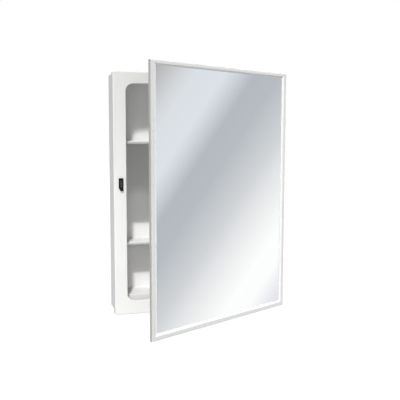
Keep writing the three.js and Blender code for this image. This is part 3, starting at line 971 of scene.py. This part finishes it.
for level, sz in (("top", 1), ("bottom", -1)):
    for side, sx in (("left", -1), ("right", 1)):
        node = f"corner_key_{level}_{side}"
        low, high = shut_box(node)
        corner_x, toe_x = (low.x, high.x) if sx < 0 else (high.x, low.x)
        corner_z, toe_z = (high.z, low.z) if sz > 0 else (low.z, high.z)
        line = fillet([[toe_x, corner_z], [corner_x, corner_z], [corner_x, toe_z]], 1.6 * MM)
        ring = sheet_ring(line, 0.9 * MM * (1 if sx * sz < 0 else -1))
        points, faces = carry(ring, [((0, y, 0), (1, 0, 0), (0, 0, 1)) for y in (low.y, high.y)])
        sharpen(make_piece(f"{node}_strip", points, faces, "door", "zinc_plate",
                           [node], swung=True))
print("two bumpers, four corner keys")

# %% [markdown]
# ## The floor and the surround
#
# The cabinet is shown as in a catalogue, on nothing but white, with a pale floor well below
# it. The surround looks white to the camera, but it does two other jobs at the same time. As
# light it is strong from below and weak from above, like a white table under the cabinet.
# And gloss and glass see a plain graded room in it, dark round eye level and pale above and
# below, so the mirror reads as a mirror from any side. Light Path tells the three apart.

# %% Floor
FLOOR_DROP = 1.1
FLOOR_SIZE = 30.0


def stage_sheet(name, corners):
    """A flat four-cornered sheet that belongs to the studio."""
    mesh = bpy.data.meshes.new(name)
    mesh.from_pydata([tuple(c) for c in corners], [], [(0, 1, 2, 3)])
    sheet = bpy.data.objects.new(name, mesh)
    bpy.context.scene.collection.objects.link(sheet)
    sheet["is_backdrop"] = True
    return sheet


floor_z = cad_low.z - FLOOR_DROP
floor = stage_sheet("studio_floor", [(x * FLOOR_SIZE, y * FLOOR_SIZE, floor_z)
                                     for x, y in ((-1, -1), (1, -1), (1, 1), (-1, 1))])
floor_paint, nodes, links, shader, place = new_material("studio_floor_paint")
floor_tone = ramp(nodes, links, noise(nodes, links, place, 0.6),
                  [(0.3, (0.90, 0.90, 0.90)), (0.7, (0.92, 0.92, 0.92))])
links.new(floor_tone, shader.inputs["Base Color"])
shader.inputs["Roughness"].default_value = 0.9
shader.inputs["Emission Color"].default_value = (1, 1, 1, 1)
shader.inputs["Emission Strength"].default_value = 1.0
floor.data.materials.append(floor_paint)
floor.visible_diffuse = False
floor.visible_glossy = False  # only the camera sees the floor
print("floor at", round(floor_z, 2), "m")

# %% Surround
LIGHT_FROM_ABOVE, LIGHT_FROM_BELOW = 0.08, 0.52
TURNOVER = 0.15  # how far above and below level the light takes to change over
world = bpy.data.worlds.new("studio_surround")
bpy.context.scene.world = world
world.use_nodes = True
nodes, links = world.node_tree.nodes, world.node_tree.links
backdrop = nodes["Background"]
backdrop.inputs["Color"].default_value = (1, 1, 1, 1)
backdrop.inputs["Strength"].default_value = 1.0
heading = nodes.new("ShaderNodeSeparateXYZ")
links.new(nodes.new("ShaderNodeTexCoord").outputs["Generated"], heading.inputs[0])
height = remap(nodes, links, heading.outputs["Z"], (-TURNOVER, TURNOVER),
               (LIGHT_FROM_BELOW, LIGHT_FROM_ABOVE))
surround = nodes.new("ShaderNodeBackground")
surround.inputs["Color"].default_value = (1.0, 1.0, 0.98, 1)
links.new(height.outputs["Result"], surround.inputs["Strength"])
ROOM = [  # what gloss and glass see from straight down to straight up
    (0.00, (0.95, 0.95, 0.95)),
    (0.38, (0.80, 0.82, 0.84)),
    (0.48, (0.58, 0.61, 0.65)),
    (0.54, (0.47, 0.50, 0.54)),
    (0.66, (0.66, 0.69, 0.73)),
    (1.00, (0.80, 0.82, 0.84)),
]
tilt = remap(nodes, links, heading.outputs["Z"], (-1.0, 1.0))
room = nodes.new("ShaderNodeBackground")
links.new(ramp(nodes, links, tilt.outputs["Result"], ROOM), room.inputs["Color"])
seen = nodes.new("ShaderNodeLightPath")
reflect = nodes.new("ShaderNodeMixShader")
links.new(seen.outputs["Is Glossy Ray"], reflect.inputs["Fac"])
links.new(surround.outputs["Background"], reflect.inputs[1])
links.new(room.outputs["Background"], reflect.inputs[2])
choose = nodes.new("ShaderNodeMixShader")
links.new(seen.outputs["Is Camera Ray"], choose.inputs["Fac"])
links.new(reflect.outputs["Shader"], choose.inputs[1])
links.new(backdrop.outputs["Background"], choose.inputs[2])
links.new(choose.outputs["Shader"], nodes["World Output"].inputs["Surface"])
bpy.context.scene.view_settings.view_transform = "Standard"
print("surround:", len(ROOM), "tones for reflections")

# %% [markdown]
# ## Lamps
#
# A narrow sun high on the left does the modelling on the cabinet: it lights the face and
# throws the edge of the opening onto the back of the box. Soft wide suns open up the
# shadows in front, on the left side and behind, and a small lamp low on the left lifts the
# lower stile. The door is lit by two lamps of its own. Light linking does that: each lamp
# has a collection of the pieces that it reaches, and every piece still casts its shadow.

# %% Lights
def aim(lamp, direction):
    """Turn a lamp so that it shines along the direction, and put it in the scene."""
    lamp.rotation_mode = "QUATERNION"
    lamp.rotation_quaternion = Vector(direction).to_track_quat("-Z", "Y")
    bpy.context.scene.collection.objects.link(lamp)


def light_only(lamp, body):
    """Let a lamp reach nothing but the pieces on one body."""
    lit = bpy.data.collections.new(f"{lamp.name}_lights")
    for piece in PIECES[body]:
        lit.objects.link(piece)
    lamp.light_linking.receiver_collection = lit


WIDE_LIGHTS = [  # name, body it lights, direction it shines in, width in degrees, strength
    ("key", "cabinet", (0.355, 1.0, -1.20), 4.5, 2.72),
    ("front_soft", "cabinet", (0.1, 1.0, 0.1), 50, 0.14),
    ("left_soft", "cabinet", (1.0, 0.1, -0.1), 40, 0.46),
    ("rear_soft", "cabinet", (-0.5, -1.0, -0.4), 50, 1.3),
    ("door_key", "door", (-0.30, 0.92, -1.10), 10, 2.45),
    ("door_soft", "door", (0.355, 1.0, -0.80), 30, 1.00),
]
for name, body, direction, width, strength in WIDE_LIGHTS:
    lamp_data = bpy.data.lights.new(name, "SUN")
    lamp_data.energy = strength
    lamp_data.angle = math.radians(width)
    lamp = bpy.data.objects.new(name, lamp_data)
    aim(lamp, direction)
    light_only(lamp, body)

LOW_FILL_POWER = 0.62
LOW_FILL_SIZE = 0.30
LOW_FILL_PLACE = Vector((-0.27, -0.60, -0.13))
LOW_FILL_TARGET = Vector((-0.17, -0.10, -0.28))
low_data = bpy.data.lights.new("low_fill", "AREA")
low_data.energy = LOW_FILL_POWER
low_data.size = LOW_FILL_SIZE
low_fill = bpy.data.objects.new("low_fill", low_data)
low_fill.location = LOW_FILL_PLACE
aim(low_fill, LOW_FILL_TARGET - LOW_FILL_PLACE)
light_only(low_fill, "cabinet")
print(len(WIDE_LIGHTS), "wide lights and a low fill")

# %% [markdown]
# ## Flags in the bays
#
# A flag is a sheet that a photographer hangs in the light to shape a shadow. Two stand
# upright inside the box, where the camera and reflections don't see them. They hold the
# sun off the upper part of the back wall in the middle and lower bays, so each bay shows
# one bright patch low down. They glow a little, to give back the soft light they take.

# %% Two flags
flag_x = pan_high.x - STILE
FLAG_Y = -0.058
FLAG_GLOW = 0.28
FLAGS = {"middle": (-0.008, 0.114), "lower": (-0.130, -0.118)}  # lowest and highest Z
flag_cloth, nodes, links, shader, place = new_material("studio_flag_cloth")
cloth_tone = ramp(nodes, links, noise(nodes, links, place, 400),
                  [(0.3, (0.01, 0.01, 0.01)), (0.7, (0.02, 0.02, 0.02))])
links.new(cloth_tone, shader.inputs["Base Color"])
shader.inputs["Emission Color"].default_value = (1, 1, 1, 1)
shader.inputs["Emission Strength"].default_value = FLAG_GLOW
for bay, (bottom, top) in FLAGS.items():
    corners = [(-flag_x, bottom), (flag_x, bottom), (flag_x, top), (-flag_x, top)]
    flag = stage_sheet(f"studio_flag_{bay}", [(x, FLAG_Y, z) for x, z in corners])
    flag.visible_camera = False
    flag.visible_glossy = False
    flag.data.materials.append(flag_cloth)
print(len(FLAGS), "flags")

# %% [markdown]
# ## The card in the mirror
#
# A mirror shows what stands in front of it, so it gets a painted card, as a studio would
# use to draw a clean sweep across the glass. A mirror turns the camera's view about its own
# plane. Turning the camera's right and up directions the same way gives two directions in
# which the card can be drawn just as it will be seen. Its sweep goes from grey at the upper
# left, through pale blue and a blue-grey band, to white, and ends in a trace of blue at the
# lower right. Towards its edges the card thins out, so that no hard edge shows in the glass
# from other sides.

# %% Card for the mirror
def mirrored(direction, normal):
    """A direction after a mirror: the part along the normal changes sign."""
    return direction - 2 * direction.dot(normal) * normal


def display(red, green, blue):
    """A colour named by its brightness on a screen, 0 to 255, as light."""
    share = np.array([red, green, blue]) / 255
    return tuple(np.where(share <= 0.04045, share / 12.92, ((share + 0.055) / 1.055) ** 2.4))


mirror_normal = Vector(swing(PIN + np.array([0.0, -1.0, 0.0]), OPEN) - PIN)
mirror_centre = Vector(swing(np.array([0.0, door_front, 0.0]), OPEN))
to_mirror = mirror_centre - camera.location
CARD_DISTANCE = 2.6
CARD_HALF = 1.6
CARD_FADE_FROM = 0.95  # metres from the centre where the card starts to thin out
away = mirrored(to_mirror.normalized(), mirror_normal)
card_centre = mirror_centre + away * CARD_DISTANCE
card_right = mirrored(camera.rotation_quaternion @ Vector((1, 0, 0)), mirror_normal)
card_up = mirrored(camera.rotation_quaternion @ Vector((0, 1, 0)), mirror_normal)
card = stage_sheet("studio_card", [card_centre + (card_right * a + card_up * b) * CARD_HALF
                                   for a, b in ((-1, -1), (1, -1), (1, 1), (-1, 1))])
card.visible_camera = False
card.visible_diffuse = False
card.visible_shadow = False

SWEEP_ANGLE = math.radians(33)  # the sweep runs right and this much downwards
SWEEP_FROM, SWEEP_TO = -0.85, 0.657  # in metres along the sweep, from the card's centre
CARD_GLOW = 1.04
SWEEP = [
    (0.00, display(172, 172, 172)),
    (0.12, display(211, 213, 216)),
    (0.17, display(219, 223, 228)),
    (0.28, display(220, 225, 231)),
    (0.32, display(208, 213, 219)),
    (0.39, display(180, 185, 191)),
    (0.48, display(182, 187, 193)),
    (0.62, display(208, 211, 214)),
    (0.68, display(225, 226, 228)),
    (0.74, display(238, 238, 238)),
    (0.83, display(253, 253, 253)),
    (0.90, display(252, 252, 252)),
    (0.96, display(233, 233, 238)),
    (1.00, display(226, 226, 234)),
]
sweep_along = card_right * math.cos(SWEEP_ANGLE) - card_up * math.sin(SWEEP_ANGLE)
card_paint, nodes, links, shader, place = new_material("studio_card_sweep")
along = nodes.new("ShaderNodeVectorMath")
along.operation = "DOT_PRODUCT"
along.inputs[1].default_value = sweep_along
links.new(place, along.inputs[0])
start = card_centre.dot(sweep_along)
reach = remap(nodes, links, along.outputs["Value"], (start + SWEEP_FROM, start + SWEEP_TO))
glow = nodes.new("ShaderNodeEmission")
glow.inputs["Strength"].default_value = CARD_GLOW
links.new(ramp(nodes, links, reach.outputs["Result"], SWEEP), glow.inputs["Color"])
out_from_centre = nodes.new("ShaderNodeVectorMath")
out_from_centre.operation = "DISTANCE"
out_from_centre.inputs[1].default_value = card_centre
links.new(place, out_from_centre.inputs[0])
fade = remap(nodes, links, out_from_centre.outputs["Value"], (CARD_FADE_FROM, CARD_HALF))
fade.interpolation_type = "SMOOTHSTEP"
soft_edge = nodes.new("ShaderNodeMixShader")
links.new(fade.outputs["Result"], soft_edge.inputs["Fac"])
links.new(glow.outputs["Emission"], soft_edge.inputs[1])
links.new(nodes.new("ShaderNodeBsdfTransparent").outputs["BSDF"], soft_edge.inputs[2])
links.new(soft_edge.outputs["Shader"], nodes["Material Output"].inputs["Surface"])
card.data.materials.append(card_paint)
print("card", CARD_DISTANCE, "m from the mirror,", len(SWEEP), "tones")

# %% [markdown]
# ## Check the size
#
# Nothing drawn here may change the cabinet's size, so the box of the CAD model and the
# box of the finished pieces are compared, and the largest difference between them is printed.

# %% Size
seen_low, seen_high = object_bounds()
changes = [*(seen_low - cad_low), *(seen_high - cad_high)]
print("largest change in mm:", round(max(abs(v) for v in changes) / MM, 2))
